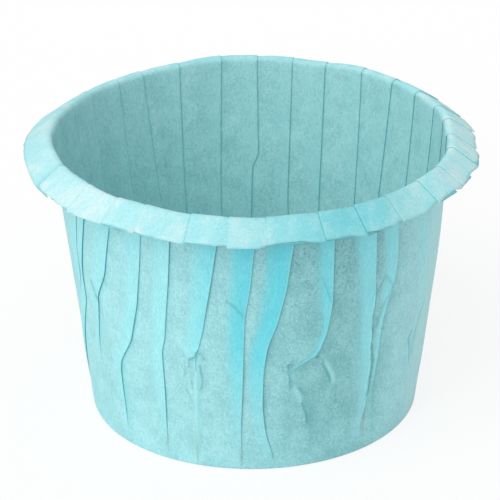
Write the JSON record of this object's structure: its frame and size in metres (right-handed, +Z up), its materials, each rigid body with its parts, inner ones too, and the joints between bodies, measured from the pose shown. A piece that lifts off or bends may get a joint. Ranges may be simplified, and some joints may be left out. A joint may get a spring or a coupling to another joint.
{
  "type": "paper baking cup",
  "caption": "Empty pleated paper baking cup with a flat base, a nearly straight wall gathered in knife pleats and a rim turned over and down.",
  "frame": {"origin": "centre of the base's underside, on the surface the cup stands on", "axes": "+Z up through the mouth, the cup's front, as the picture shows it, faces -Y, +X to the viewer's right"},
  "size_m": [0.07, 0.0699, 0.0455],
  "materials": {
    "greaseproof_paper": "matte"
  },
  "bodies": {
    "root": {"baking_cup": "greaseproof_paper"}
  },
  "joints": []
}
